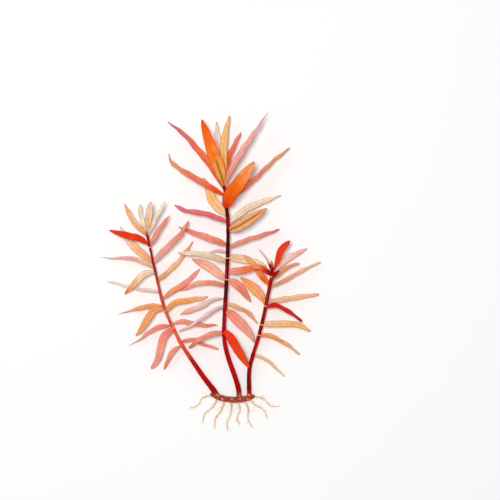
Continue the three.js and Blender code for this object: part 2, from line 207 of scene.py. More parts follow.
# Each stem's route from the base to its bud, its radius at foot and bud, the width of its leaves, its
# colours and those of its streaks, which also give the painted shade on its two sides, each with the share
# of the length where it lies, and the heights of its pale leaf scars
STEMS = {
    "left": Stem(
        [(-22, 2.5, 3), (-27, 10, 3.6), (-36.5, 22.5, 4.6), (-48.5, 40, 5.8), (-59, 56, 6.8),
         (-67.5, 73, 7.8), (-74.5, 88.5, 8.6), (-79, 103, 9.2), (-82.5, 118.5, 9.8),
         (-86.5, 136, 10.3), (-90.5, 154.5, 10.8), (-93.5, 169, 11)],
        (2.9, 1.1), 7,
        [(0, "crimson"), (0.21, "crimson"), (0.27, "poppy"), (0.36, "melon"), (0.48, "melon"),
         (0.55, "ember"), (0.76, "ember"), (0.83, "brick"), (1, "ruby")],
        [(0, "ruby"), (0.24, "ruby"), (0.33, "ember"), (0.42, "ember"), (0.5, "brick"),
         (0.66, "brick"), (0.74, "garnet"), (1, "garnet")],
        (152.5, 89.5, 72),
    ),
    "middle": Stem(
        [(-1, 1, 3), (-1.5, 10, 3.6), (-5.5, 24, 5), (-11, 39.5, 6.6), (-15.5, 58, 8.4), (-16, 75, 10),
         (-15, 93, 11.2), (-13.5, 120, 12.4), (-12.5, 142, 13), (-12, 160, 13.6), (-12, 178, 14.2),
         (-13.5, 193, 14.6), (-14.5, 206, 15), (-15.5, 215, 15.2)],
        (2.6, 1.6), 8.5,
        [(0, "crimson"), (0.38, "crimson"), (0.46, "ruby"), (0.51, "wine"), (0.55, "wine"),
         (0.59, "scarlet"), (0.63, "wine"), (0.76, "wine"), (0.83, "ruby"), (1, "ruby")],
        [(0, "ruby"), (0.4, "garnet"), (0.48, "ink"), (0.78, "ink"), (0.85, "maroon"), (1, "maroon")],
        (142, 120.5),
    ),
    "right": Stem(
        [(9.5, 2, 3), (9, 12, 3.6), (9.5, 31.5, 5), (13, 45, 6.4), (19, 65, 8.4), (24.3, 87, 10),
         (28, 105.5, 11), (31, 120, 11.7), (33, 129, 12)],
        (2.3, 1.6), 7,
        [(0, "scarlet"), (0.28, "ruby"), (0.4, "crimson"), (0.8, "scarlet"), (1, "crimson")],
        [(0, "wine"), (0.25, "maroon"), (0.38, "garnet"), (0.7, "wine"), (0.85, "maroon"),
         (1, "garnet")],
        (123, 94, 75.3, 64.8),
    ),
}

# Leaves from each shoot's tip down. The three names of a wash are its colours at foot, middle and tip.
LEAVES = {
    "left": [
        Leaf("tan peach tan", 163, 5.8, 0, 4, [(-106.6, 178.6), (-116.2, 196.6)]),
        Leaf("flame flame flame", 155, 7, 8, 8, [(-101.5, 162), (-110, 163.8), (-131.5, 169.8)]),
        Leaf("salmon salmon coral", 153.5, 5, 4, 13,
             [(-81.6, 168.5), (-75.6, 177.5), (-69.6, 184.8)], "taper"),
        Leaf("tan peach cream", 137, 8, -2, 2, [(-99.5, 147.5), (-109.3, 156.7), (-120.7, 173.8)]),
        Leaf("peach pink blush", 131.5, 4, 2, 1.5,
             [(-100, 139), (-113.5, 142), (-127, 141.5), (-140.5, 143)], "thread"),
        Leaf("pink salmon coral", 137.5, 5.7, 6, 12,
             [(-75, 150), (-63.5, 161), (-56, 170), (-51.5, 179)], "strap"),
        Leaf("cream peach orange", 128, 6.3, 7, 5, [(-95.5, 126), (-104.5, 117), (-116, 105.5)]),
        Leaf("tan peach tan", 119, 4.6, 0, 2, [(-70.5, 129.5), (-60, 140), (-47, 158.5)], "strap"),
        Leaf("petal petal petal", 108.5, 3.4, -1, 1.5,
             [(-97, 110), (-112, 113), (-133, 118.5)], "strap"),
        Leaf("apricot salmon salmon", 100.5, 5, 3, 4, [(-67, 109.2), (-55.6, 116.2), (-39.7, 131.5)]),
        Leaf("tan apricot shrimp", 94, 5, 0, 1,
             [(-88.5, 93.4), (-95, 92.8), (-106, 90), (-123, 85.4)], "thread"),
        Leaf("apricot apricot apricot", 91, 7, 7, 6,
             [(-85, 90.3), (-90.5, 84), (-98, 71.8), (-104.7, 63.6)]),
        Leaf("amber amber peach", 87.5, 5.2, 3, 3,
             [(-69, 94.4), (-61.5, 97.8), (-48.5, 99.8), (-32, 103)], "strap"),
        Leaf("coral salmon pink", 74.5, 4.5, 1, 1,
             [(-82.5, 72), (-90, 68), (-100, 60.5), (-112, 53.5)], "thread"),
        Leaf("coral salmon salmon", 71.5, 7.2, 6, 3,
             [(-75.9, 63.5), (-79.3, 53), (-82, 41.5), (-89, 30.6)], "strap"),
        Leaf("salmon salmon coral", 55, 4.6, 2, 1, [(-67.5, 47.5), (-72.5, 38.5), (-76.5, 29.5)]),
        Leaf("salmon salmon coral", 76, 4.8, 2, 2,
             [(-57.5, 78), (-46.5, 76), (-37.5, 74.5), (-22.5, 74.5)]),
        Leaf("coral salmon pink", 58, 3.7, 0, 1,
             [(-45.7, 59.6), (-37.8, 55.6), (-21.2, 50.2)], "strap"),
    ],
    "middle": [
        Leaf("melon melon mauve", 209, 6.4, -1, 3,
             [(-30, 234.5), (-45, 253), (-54.5, 264), (-73, 279)], "taper"),
        Leaf("amber orange vivid", 213.5, 11.8, 12, 22,
             [(-21.5, 233), (-28, 249.5), (-32.5, 263), (-38, 280)], "full", 0.4),
        Leaf("salmon pink pink", 211, 5.8, 8, 16,
             [(-11.5, 224, 20), (-6, 235), (6.5, 254.5), (28, 287.5)], "tail"),
        Leaf("vivid coral tan", 203.5, 6.4, 4, 4,
             [(-27.7, 211.2), (-47, 222.3), (-64, 233.4), (-69.4, 239), (-71.8, 247)]),
        Leaf("flame orange apricot", 191, 13.5, 10, 28,
             [(-13.4, 194, 19), (-9.4, 205), (-2.8, 213.5), (6.5, 226.5), (14.5, 237.5)], "blunt"),
        Leaf("coral coral tan", 198, 4, 2, 7,
             [(1, 208.5), (18.5, 224.5), (35, 240.5), (50, 252.5)], "strap"),
        Leaf("peach honey peach", 184, 9.6, -3, 1.5,
             [(-26.6, 198.6), (-30.6, 208.6), (-36.6, 222.8)], "full"),
        Leaf("rose rose rose", 177.5, 5.4, 3, 4, [(-34, 185.5), (-55.5, 189.5), (-66, 195)], "strap"),
        Leaf("tan tan apricot", 169.5, 10, 8, 20, [(-2, 173.5), (8, 179.5), (27, 191.5)], "full", 1.0),
        Leaf("cream cream cream", 176, 6.6, -1, 4, [(-7, 180), (8, 191.5), (20.5, 197), (41.5, 205)]),
        Leaf("coral salmon rose", 154.5, 6.4, 3, 3,
             [(-34, 162.5), (-53.5, 169.5), (-62, 173.5)], "taper"),
        Leaf("salmon salmon rose", 152, 4.3, 3, 5,
             [(-2, 156.5), (10.5, 161), (31, 167.5), (39.5, 171)], "strap"),
        Leaf("blush blush blush", 148, 3, -2, 4, [(-24, 149), (-33, 146.5)]),
        Leaf("peach cream cream", 138, 5.6, 5, 10, [(-29, 143.5), (-39, 145.5), (-62, 147)], "strap"),
        Leaf("peach cream peach", 142, 8, -3, 1.5, [(-2, 141.5), (15.5, 137.5), (27, 133.5)], "broad"),
        Leaf("shrimp shrimp salmon", 119.5, 9, 4, 3, [(-22.5, 127), (-30.5, 133), (-48.5, 141)]),
        Leaf("salmon melon melon", 128, 7, 4, 13, [(-1.5, 129), (12, 131.2), (20, 131.6)], "broad"),
        Leaf("coral shrimp salmon", 114, 4.6, 2, 2.5,
             [(-27, 116.8), (-40, 116.6), (-51, 113.3), (-69.4, 106.9)], "strap"),
        Leaf("salmon coral tan", 120.5, 8, 3, 5,
             [(-5.8, 117.2), (0.9, 111.4), (10.8, 97.8)], "taper"),
        Leaf("blush blush shrimp", 101.5, 5.4, 2, 3,
             [(-25.2, 100.7), (-42.6, 92), (-60.3, 85.2)], "spoon"),
        Leaf("blush blush blush", 94, 3, 6, 9,
             [(-22, 92), (-30.5, 87), (-46.5, 76), (-61.5, 68.5)], "strap"),
        Leaf("peach tan peach", 97, 4, 1, 4, [(-3.4, 92.6), (7.3, 87.5), (17.7, 76)], "strap"),
        Leaf("coral salmon shrimp", 90.5, 9.5, 7, 8,
             [(-7.9, 85), (0.6, 76.9), (11.6, 63.8), (14, 57.3)], "taper"),
        Leaf("salmon salmon coral", 67.5, 5, 8, 5,
             [(-26.7, 66), (-40.2, 60.6), (-51.6, 51.8)], "strap"),
        Leaf("flame flame vivid", 70.5, 9, 9, 14,
             [(-14.5, 68.5, 14), (-10, 63.5), (-1.5, 49.5), (10, 31.5)]),
    ],
    "right": [
        Leaf("flame flame flame", 127, 7, 5, 20, [(36, 135.5), (41.5, 150.5), (50, 159.5)], "spoon"),
        Leaf("blush blush pink", 125, 6, -1, 4, [(43, 138), (51.5, 143.5), (67.5, 151.5)]),
        Leaf("tan tan tan", 119, 4, 1, 5, [(39, 126), (46, 132), (59.5, 136.5)], "strap"),
        Leaf("tan shrimp peach", 113, 3.3, 3, 4, [(43, 119), (63, 130), (81, 138)], "strap"),
        Leaf("scarlet flame apricot", 125, 5.7, 6, 18, [(24.5, 129.8), (19, 133), (11, 132)]),
        Leaf("orange apricot tan", 114.5, 6, 1, 8, [(22, 123), (15, 133), (3.5, 145)], "strap"),
        Leaf("apricot apricot apricot", 95.5, 9.5, 4, 5, [(20.3, 104.9), (14.3, 111.4), (0.2, 122.6)]),
        Leaf("shrimp peach shrimp", 98.5, 4.6, -1, 3, [(35, 99), (51, 101.5), (79.5, 105.5)], "strap"),
        Leaf("poppy poppy scarlet", 92.5, 4.5, 5, 5,
             [(35, 94.5), (41.5, 92), (51, 86.5), (62.5, 78)], "strap"),
        Leaf("peach honey honey", 75.5, 5.8, 3, 2,
             [(32, 76), (44.5, 76), (56, 75.5), (71, 68.5)], "strap"),
        Leaf("apricot apricot peach", 64, 4.2, 1, 1,
             [(28, 64.4), (37.9, 60.2), (49.6, 53.2), (60.3, 44.6)], "strap"),
        Leaf("peach peach cream", 44.5, 3, 1, 1, [(22.5, 42), (30.5, 36.5), (45, 22.5)], "strap"),
    ],
}

# The youngest leaves, which grow from each shoot's bud
YOUNG_LEAVES = {
    "left": [
        Leaf("ivory ivory cream", 166, 3.8, 1, 12,
             [(-97.5, 178), (-100, 186.5), (-99.5, 195.5)], "spoon"),
        Leaf("peach peach blush", 167, 7.4, 5, 24, [(-90.5, 185), (-88.5, 198)], "spoon"),
        Leaf("cream ivory cream", 165, 4.8, 3, 18, [(-84, 181), (-74, 198.5)], "blunt"),
    ],
    "middle": [
        Leaf("petal petal cream", 211, 6.2, -1, 5,
             [(-20, 238), (-22.5, 257.5), (-23.5, 278.5)], "spoon"),
        Leaf("orange honey honey", 212, 8, 0, 8,
             [(-16.5, 246.5), (-15.5, 260), (-10.5, 285)], "blunt"),
        Leaf("melon melon coral", 212, 5.6, -3, 9,
             [(-13.5, 226), (-9.5, 246.5), (-4, 257.5), (1, 268)], "spoon"),
    ],
    "right": [
        Leaf("blush blush blush", 126, 2.3, 1, 8, [(28, 138), (24, 144.5), (18.6, 150.8)]),
        Leaf("ruby ruby scarlet", 126, 3.8, 2, 16.5, [(31.4, 131.5), (28.4, 137.2)]),
        Leaf("garnet melon tan", 127, 3.2, 0, 13, [(32, 134), (31.2, 139.8)]),
        Leaf("garnet garnet scarlet", 122, 3.6, 1, 18, [(35, 126), (39.4, 130)]),
    ],
}

BASE_ROUTE = [(-30, 6, 3), (-22, 2.5, 3), (-10, 0, 3), (0, 0, 3), (9, 2, 3), (15, 4, 3)]
ROOTS = [
    [(-27, 4.5, 2.6), (-37, 2, 1.6), (-43, -6, 1.2), (-51, -9, 0.6)],
    [(-22, 2.5, 2.6), (-28, -8, 1.5), (-35, -14, 1.1), (-38, -25, 0.6)],
    [(-15, 1, 2.6), (-19, -11, 1.4), (-25, -20, 1), (-25, -30, 0.6)],
    [(-9, 0, 2.6), (-9, -13, 1.4), (-13, -23, 1), (-12, -33, 0.6)],
    [(-3, 0, 2.6), (0, -10, 1.4), (-3, -19, 1), (0, -26, 0.6)],
    [(3, 0.5, 2.6), (8, -9, 1.4), (8, -20, 1), (13, -29, 0.6)],
    [(8, 2, 2.6), (16, -6, 1.5), (23, -10, 1.1), (28, -20, 0.6)],
    [(13, 3.5, 2.6), (23, 1, 1.5), (30, -6, 1.1), (40, -7, 0.6)],
]

# The camera's frame: the picture's middle, seen from the middle of the base, and its width
PICTURE_MIDDLE = np.array([10.0, 150.0, 10.0])
PICTURE_WIDTH = 500
LENS = 150
SENSOR = 36

# The studio, in metres: each light's name, place, size and watts
LIGHTS = (
    ("key", (-0.25, 0.3, 2.8), 0.6, 50),
    ("side", (-1.1, 1.0, 1.4), 0.8, 3.5),
)
SKY_STRENGTH = 0.36
FLOOR_SIZE = 8
CAMERA_REACH = 20


def unit(vectors):
    return vectors / np.linalg.norm(vectors, axis=-1, keepdims=True)


class Route:
    """A smooth curve through points, whose places are shares of its length."""

    STEPS = 40  # dense points for each given point
    LOOK_AHEAD = 0.002  # share of the length over which a heading is taken, each way

    def __init__(self, points):
        given = np.array(points, float)
        given = np.vstack([2 * given[0] - given[1], given, 2 * given[-1] - given[-2]])
        t = np.linspace(0, 1, self.STEPS, endpoint=False)[:, None]
        stretches = []
        for a, b, c, d in zip(given, given[1:], given[2:], given[3:]):
            ab, bc, cd = (math.sqrt(math.dist(p, q)) for p, q in ((a, b), (b, c), (c, d)))
            leave = ((b - a) / ab - (c - a) / (ab + bc) + (c - b) / bc) * bc
            arrive = ((c - b) / bc - (d - b) / (bc + cd) + (d - c) / cd) * bc
            square = 3 * (c - b) - 2 * leave - arrive
            cube = 2 * (b - c) + leave + arrive
            stretches.append(b + leave * t + square * t**2 + cube * t**3)
        self.dense = np.vstack([*stretches, given[-2:-1]])
        steps = np.linalg.norm(np.diff(self.dense, axis=0), axis=1)
        self.travelled = np.concatenate([[0], np.cumsum(steps)])
        self.length = self.travelled[-1]

    def at(self, share):
        reach = np.asarray(share) * self.length
        return np.stack([np.interp(reach, self.travelled, axis) for axis in self.dense.T], axis=-1)

    def heading(self, share):
        share = np.asarray(share)
        ahead = self.at(np.minimum(share + self.LOOK_AHEAD, 1))
        behind = self.at(np.maximum(share - self.LOOK_AHEAD, 0))
        return unit(ahead - behind)

    def sides(self, share):
        """The directions across the curve, sideways and up."""
        forward = self.heading(share)
        side = unit(np.cross(forward, UP))
        return side, np.cross(side, forward)

    def share_at_height(self, y):
        return float(np.interp(y, self.dense[:, 1], self.travelled) / self.length)


def ripple(rng, waves=3):
    """A smooth random function of a share from 0 to 1, of about -1 to 1."""
    terms = [(rng.uniform(0.6, 1) / k, k * rng.uniform(0.8, 1.4), rng.uniform(0, math.tau))
             for k in range(1, waves + 1)]
    return lambda x: sum(a * np.sin(math.tau * f * x + p) for a, f, p in terms) / 1.4


def loft(name, rings, **marks):
    """A closed mesh from rings of points, (ring, point, xyz), with marks as point attributes."""
    count, around = rings.shape[:2]
    points = np.vstack([rings.reshape(-1, 3), rings[[0, -1]].mean(axis=1)])
    points = np.clip((points - BOX_MIDDLE) * MM, *cad_box)
    first, last = len(points) - 2, len(points) - 1
    here = np.arange(around)
    after = (here + 1) % around
    faces = []
    for i in range(count - 1):
        low, high = i * around, (i + 1) * around
        faces.extend(zip(low + here, low + after, high + after, high + here))
    faces.extend((first, b, a) for a, b in zip(here, after))
    top = (count - 1) * around
    faces.extend((last, top + a, top + b) for a, b in zip(here, after))
    mesh = bpy.data.meshes.new(name)
    mesh.from_pydata(points.tolist(), [], [tuple(map(int, f)) for f in faces])
    for mark, values in marks.items():
        flat = np.concatenate([values.ravel(), values[[0, -1]].mean(axis=1)]).astype(np.float32)
        mesh.attributes.new(mark, "FLOAT", "POINT").data.foreach_set("value", flat)
    mesh.shade_smooth()
    mesh.update()
    obj = bpy.data.objects.new(name, mesh)
    bpy.context.scene.collection.objects.link(obj)
    return obj


def linear(name):
    """A palette colour as the shader takes it."""
    channels = [int(PALETTE[name][i:i + 2], 16) / 255 for i in (0, 2, 4)]
    return [c / 12.92 if c <= 0.04045 else ((c + 0.055) / 1.055) ** 2.4 for c in channels] + [1.0]


class Shader:
    """A material's node tree, with short calls for the nodes used here."""

    def __init__(self, name, roughness):
        self.material = bpy.data.materials.new(name)
        self.material.use_nodes = True
        self.tree = self.material.node_tree
        self.surface = self.tree.nodes["Principled BSDF"]
        self.surface.inputs["Roughness"].default_value = roughness

    def add(self, kind, inputs=(), **settings):
        node = self.tree.nodes.new("ShaderNode" + kind)
        for key, value in settings.items():
            setattr(node, key, value)
        for key, value in dict(inputs).items():
            self.put(node, key, value)
        return node

    def put(self, node, key, value):
        if isinstance(value, bpy.types.NodeSocket):
            self.tree.links.new(value, node.inputs[key])
        else:
            node.inputs[key].default_value = value

    def math(self, operation, *values):
        return self.add("Math", enumerate(values), operation=operation).outputs[0]

    def mark(self, name):
        return self.add("Attribute", attribute_name=name).outputs["Fac"]

    def noise(self, scale, detail=3, stretch=(1, 1, 1)):
        place = self.add("TexCoord").outputs["Object"]
        place = self.add("Mapping", {"Vector": place, "Scale": stretch}).outputs[0]
        return self.add("TexNoise", {"Vector": place, "Scale": scale, "Detail": detail}).outputs["Fac"]

    def range(self, value, low, high, to_low=0.0, to_high=1.0):
        """A value from low to high becomes one from to_low to to_high, smoothly and clamped."""
        inputs = {"Value": value, "From Min": low, "From Max": high, "To Min": to_low, "To Max": to_high}
        return self.add("MapRange", inputs, interpolation_type="SMOOTHSTEP").outputs[0]

    def mix(self, share, a, b, blend="MIX"):
        """Colours a and b by share; a Mix node's sockets 6, 7 and 2 are its colours."""
        inputs = {"Factor": share, 6: a, 7: b}
        return self.add("Mix", inputs, data_type="RGBA", blend_type=blend).outputs[2]

    def ramp(self, value, stops):
        """Colours laid out along a value from 0 to 1, each with its place."""
        node = self.add("ValToRGB", {"Fac": value})
        elements = node.color_ramp.elements
        while len(elements) < len(stops):
            elements.new(0.5)
        for element, (place, colour) in zip(elements, stops):
            element.position = place
            element.color = colour
        return node.outputs[0]

    def brightness(self, colour, value):
        return self.add("HueSaturation", {"Color": colour, "Value": value}).outputs[0]

    def finish(self, colour, height, distance):
        bump = self.add("Bump", {"Height": height, "Distance": distance, "Strength": BUMP_STRENGTH})
        self.put(self.surface, "Base Color", colour)
        self.put(self.surface, "Normal", bump.outputs[0])
        return self.material


def blade_share(outline, along):
    """Half the width of a blade as a share of its widest, from its foot at 0 to its tip at 1."""
    foot, widen, narrow = OUTLINES[outline]
    along = np.clip(along, 0, 1)
    peak = widen / (widen + narrow)
    widest = peak**widen * (1 - peak) ** narrow
    return np.hypot(foot * (1 - along) ** FOOT_FADE, along**widen * (1 - along) ** narrow / widest)


def leaf_material(name, row):
    """Thin leaf tissue: a wash from foot to tip, mottled, with a midrib, side veins and a darker rim."""
    foot, middle, tip = (linear(colour) for colour in row.wash.split())
    shader = Shader(name, 0.52)
    along = shader.mark("along")
    across = shader.math("ABSOLUTE", shader.mark("across"))
    uneven = shader.noise(UNEVEN_WASH, 2)
    shifted = shader.math("ADD", along, shader.range(uneven, 0.3, 0.7, -0.1, 0.1))
    colour = shader.ramp(shifted, [(0.04, foot), (0.48, middle), (0.94, tip)])

    blotches = shader.range(shader.noise(BLOTCHES, 4), 0.3, 0.72, 0.9, 1.07)
    colour = shader.brightness(colour, blotches)
    grain = shader.range(shader.noise(GRAIN, 2), 0.35, 0.65, 0.97, 1.03)
    colour = shader.brightness(colour, grain)

    slant = shader.math("MULTIPLY", across, -VEIN_SLANT)
    run = shader.math("ADD", shader.mark("run"), slant)
    turn = shader.math("MULTIPLY", run, math.tau / VEIN_SPACING)
    vein = shader.range(shader.math("SINE", turn), 0.86, 1.0)
    colour = shader.mix(shader.math("MULTIPLY", vein, 0.16), colour, VEIN_SHADE)

    rib = shader.range(across, 0.18, 0.42, 1.0, 0.0)
    rib_fade = shader.range(along, 0.5, 1.0, 0.62, 0.12)
    rib_colour = shader.mix(0.6, colour, RIB_SHADE)
    colour = shader.mix(shader.math("MULTIPLY", rib, rib_fade), colour, rib_colour)
    if row.rib:
        shade = shader.range(across, 0.3, 1.7, 0.8, 0.0)
        shade = shader.math("MULTIPLY", shade, shader.range(along, 0.6 * row.rib, row.rib, 1.0, 0.0))
        colour = shader.mix(shade, colour, linear("olive"))

    rim = shader.range(shader.mark("margin"), 0.2, 0.65, 0.85, 0.0)
    point = shader.range(along, 0.93, 1.0, 0.0, 0.6)
    edge = shader.math("MAXIMUM", rim, point)
    colour = shader.mix(edge, colour, shader.mix(0.8, colour, RIM_SHADE, "MULTIPLY"))

    height = shader.math("ADD", shader.math("MULTIPLY", vein, -0.5), shader.noise(1500, 2))
    shader.surface.inputs["Subsurface Weight"].default_value = 0.06
    shader.surface.inputs["Subsurface Radius"].default_value = (1.0, 0.35, 0.2)
    shader.surface.inputs["Subsurface Scale"].default_value = 0.0012
    shader.surface.inputs["Specular IOR Level"].default_value = 0.1
    return shader.finish(colour, height, 0.00012)


def grow_midrib(row, stem):
    """A midrib's curve from its stem's axis, and the share of the stem's length where it starts."""
    at = stem.curve.share_at_height(row.node)
    origin = stem.curve.at(at)
    plan = [(origin[0], origin[1]), *row.plan]
    steps = [math.dist(p[:2], q[:2]) for p, q in zip(plan, plan[1:])]
    travelled = np.concatenate([[0], np.cumsum(steps)])
    points = []
    for place, share in zip(plan, travelled / travelled[-1]):
        height = origin[2] + (row.tip - origin[2]) * share + 4 * row.arch * share * (1 - share)
        points.append((place[0], place[1], place[2] if len(place) > 2 else height))
    return Route(points), at


def blade_stance(row, stem, curve, at, fused):
    """A blade's full width, the share of its midrib where it clears the stem, and its roll."""
    axis = stem.curve.heading(at)
    leaving = curve.heading(0.0)
    lean = abs(float(leaving @ axis))
    width = min(max(stem.blade, row.span), row.span / math.cos(MOST_ROLL))
    foot = OUTLINES[row.outline][0]
    clear = (stem.radius(at) + GAP + foot * width / 2 * lean) / math.sqrt(1 - lean * lean)
    start = 0 if fused else clear / curve.length
    tip_side = 1 if float(np.cross(leaving, UP) @ axis) >= 0 else -1
    return width, start, tip_side * math.acos(row.span / width)


def make_leaf(name, row, stem, fused=False):
    """One blade: folded along its midrib, waved along its margins and swollen between its veins."""
    rng = random.Random(name)
    curve, at = grow_midrib(row, stem)
    width, start, roll = blade_stance(row, stem, curve, at, fused)
    inside = FOOT_DEPTH * stem.radius(at) / curve.length
    rows = 1 - (1 - np.linspace(0, 1, BLADE_ROWS)) ** ROW_CROWDING
    share = inside + (1 - inside) * rows
    along = (share - start) / (1 - start)
    run = share * curve.length
    side, upper = curve.sides(share)
    twist = roll + math.radians(rng.uniform(-MOST_TWIST, MOST_TWIST)) * np.clip(along, 0, 1)
    cosine, sine = np.cos(twist)[:, None], np.sin(twist)[:, None]
    turned = side * cosine - upper * sine
    raised = upper * cosine + side * sine

    uneven = {-1: ripple(rng), 1: ripple(rng)}
    phase = {-1: rng.uniform(0, math.tau), 1: rng.uniform(0, math.tau)}
    half = width / 2 * blade_share(row.outline, along)
    calm = np.clip(along, 0, 1) ** 0.5 * np.clip(half / WAVE_HALF_WIDTH, 0, 1)
    rings, marks = [], {"along": [], "across": [], "margin": [], "run": []}
    faces = [(u, 1) for u in BLADE_COLUMNS] + [(u, -1) for u in BLADE_COLUMNS[-2:0:-1]]
    for u, face in faces:
        hand = 1 if u > 0 else -1
        reach = u * half * (1 + MARGIN_UNEVENNESS * uneven[hand](along * 2))
        lift = BLADE_FOLD * np.sqrt(reach**2 + FOLD_ROUNDING)
        lift += WAVE_HEIGHT * calm * u * u * np.sin(math.tau * run / WAVE_LENGTH + phase[hand])
        veins = np.sin(math.pi * (run - VEIN_SLANT * np.abs(reach)) / VEIN_SPACING)
        lift += PUFF * np.abs(veins) * (1 - u * u) * np.clip(np.abs(reach) / PUFF_START, 0, 1)
        middle = np.exp(-((reach / MIDRIB_HALF_WIDTH) ** 2)) * (1 - MIDRIB_FADE * np.clip(along, 0, 1))
        thick = BLADE_HALF_THICKNESS * math.sqrt(1 - u * u)
        lift += thick - GROOVE_DEPTH * middle if face > 0 else -thick - MIDRIB_DEPTH * middle
        rings.append(curve.at(share) + turned * reach[:, None] + raised * lift[:, None])
        marks["along"].append(np.clip(along, 0, 1))
        marks["across"].append(reach)
        marks["margin"].append(half * (1 - abs(u)) * max(1, RIM_BLADE / width))
        marks["run"].append(run)
    rings = np.stack(rings, axis=1)
    rings[..., 2] = np.maximum(rings[..., 2], LEAST_HEIGHT)
    blade = loft(name, rings, **{mark: np.stack(values, axis=1) for mark, values in marks.items()})
    blade.data.materials.append(leaf_material(name, row))
    return blade


class LiveStem:
    """A stem's curve, and its radius at each share of its length."""

    def __init__(self, shoot):
        self.row = STEMS[shoot]
        self.curve = Route(self.row.route)
        self.blade = self.row.blade
        self.nodes = np.array([self.curve.share_at_height(row.node) for row in LEAVES[shoot]])
        self.scars = np.array([self.curve.share_at_height(height) for height in self.row.scars])

    def away(self, share, places):
        """Distance along the stem to the nearest of some places on it."""
        gaps = (np.asarray(share)[..., None] - places) * self.curve.length
        return np.abs(gaps).min(axis=-1)

    def radius(self, share):
        foot, bud = self.row.radius
        swelling = np.exp(-((self.away(share, self.nodes) / NODE_REACH) ** 2))
        bare = foot + (bud - foot) * (1 - (1 - np.asarray(share)) ** STEM_TAPER)
        return bare * (1 + NODE_SWELLING * swelling)


def tube_rings(curve, shares, radii, sides):
    """Round rings along part of a curve. Each has one radius in radii, or a row with one for each point."""
    angle = np.linspace(0, math.tau, sides, endpoint=False)
    side, upper = curve.sides(shares)
    out = side[:, None] * np.cos(angle)[:, None] + upper[:, None] * np.sin(angle)[:, None]
    return curve.at(shares)[:, None] + out * radii.reshape(len(shares), -1, 1)


def stem_material(name, row):
    """Smooth red stem, streaked lengthwise, with pale leaf scars and painted shade on both sides."""
    shader = Shader(name, 0.5)
    uneven = shader.range(shader.noise(70, 2), 0.3, 0.7, -0.03, 0.03)
    place = shader.math("ADD", shader.mark("along"), uneven)
    colour = shader.ramp(place, [(share, linear(hue)) for share, hue in row.wash])
    streak_and_side_shade_colour = shader.ramp(place, [(share, linear(hue)) for share, hue in row.streaks])

    marks = {"X": shader.mark("sideways"), "Y": shader.mark("upward"), "Z": shader.mark("run")}
    line = shader.add("CombineXYZ", marks).outputs[0]
    line = shader.add("Mapping", {"Vector": line, "Scale": (1.9, 1.9, 0.06)}).outputs[0]
    lines = shader.add("TexNoise", {"Vector": line, "Scale": 1.0, "Detail": 4}).outputs["Fac"]
    # Painted shade: both sides of the stem, as seen from above, darken towards the streak colours
    edge = shader.range(shader.math("ABSOLUTE", shader.mark("sideways")), 0.7, 1.0, 0.0, 0.9)
    share = shader.math("MAXIMUM", shader.range(lines, 0.45, 0.55, 0.0, 0.95), edge)
    colour = shader.mix(share, colour, streak_and_side_shade_colour)

    grain = shader.range(shader.noise(GRAIN, 2), 0.35, 0.65, 0.93, 1.05)
    colour = shader.brightness(colour, grain)
    scar = shader.range(shader.mark("scar"), 0.35, 0.8, 0.9, 0.0)
    colour = shader.mix(scar, colour, linear("tan"))
    height = shader.math("ADD", lines, shader.noise(1400, 2))
    shader.surface.inputs["Specular IOR Level"].default_value = 0.04
    return shader.finish(colour, height, 0.00015)


def make_stem(name, stem):
    """A stem from its collar to its bud, with faint edges and a pinch at each leaf scar."""
    count = round(stem.curve.length / STEM_STEP)
    shares = np.linspace(COLLAR / stem.curve.length, 1, count)
    angle = np.linspace(0, math.tau, STEM_SIDES, endpoint=False)
    lumps = ripple(random.Random(name), 6)
    scar = stem.away(shares, stem.scars)
    radius = stem.radius(shares) * (1 + STEM_LUMPS * lumps(shares * 4))
    radius *= 1 - SCAR_PINCH * np.exp(-((scar / SCAR_REACH) ** 2))
    radius *= np.sqrt(np.clip((1 - shares) * stem.curve.length / BUD_ROUNDING, LEAST_END, 1))
    turned = np.cos(STEM_EDGES * (angle[None] + shares[:, None] * STEM_WINDING))
    rings = tube_rings(stem.curve, shares, radius[:, None] * (1 + STEM_RIB * turned), STEM_SIDES)
    full = np.ones_like(rings[..., 0])
    marks = {
        "along": shares[:, None] * full,
        "run": shares[:, None] * stem.curve.length * full,
        "sideways": np.cos(angle)[None] * full,
        "upward": np.sin(angle)[None] * full,
        "scar": scar[:, None] * full,
    }
    piece = loft(name, rings, **marks)
    piece.data.materials.append(stem_material(name, stem.row))
    return piece


def base_material():
    """The creeping base: reddish brown bark with rings, turning red at the stems."""
    shader = Shader("base_bark", 0.6)
    colour = shader.mix(shader.noise(130, 4), linear("bark"), linear("garnet"))
    rings = shader.noise(1.0, 2, (900, 120, 120))
    colour = shader.brightness(colour, shader.range(rings, 0.3, 0.7, 0.7, 1.25))
    colour = shader.mix(shader.range(shader.noise(420, 3), 0.5, 0.75), colour, linear("tan"))
    uneven = shader.range(shader.noise(300, 2), 0.3, 0.7, -0.2, 0.2)
    red = shader.math("ADD", shader.mark("collar"), uneven)
    colour = shader.mix(shader.range(red, 0.3, 0.85), colour, linear("ruby"))
    height = shader.math("ADD", rings, shader.noise(900, 3))
    shader.surface.inputs["Specular IOR Level"].default_value = 0.1
    return shader.finish(colour, height, 0.0003)


def root_material():
    """Pale roots, a little browner here and there."""
    shader = Shader("pale_root", 0.55)
    colour = shader.mix(shader.range(shader.noise(120, 3), 0.4, 0.75), linear("straw"), linear("tan"))
    colour = shader.brightness(colour, shader.range(shader.noise(800, 2), 0.3, 0.7, 0.86, 1.06))
    shader.surface.inputs["Subsurface Weight"].default_value = 0.1
    shader.surface.inputs["Subsurface Scale"].default_value = 0.001
    return shader.finish(colour, shader.noise(1600, 3), 0.0001)


def join(name, pieces):
    """One piece from several, with their meshes in it."""
    with bpy.context.temp_override(active_object=pieces[0], selected_editable_objects=pieces):
        bpy.ops.object.join()
    pieces[0].name = name
    pieces[0].data.name = name
    return pieces[0]


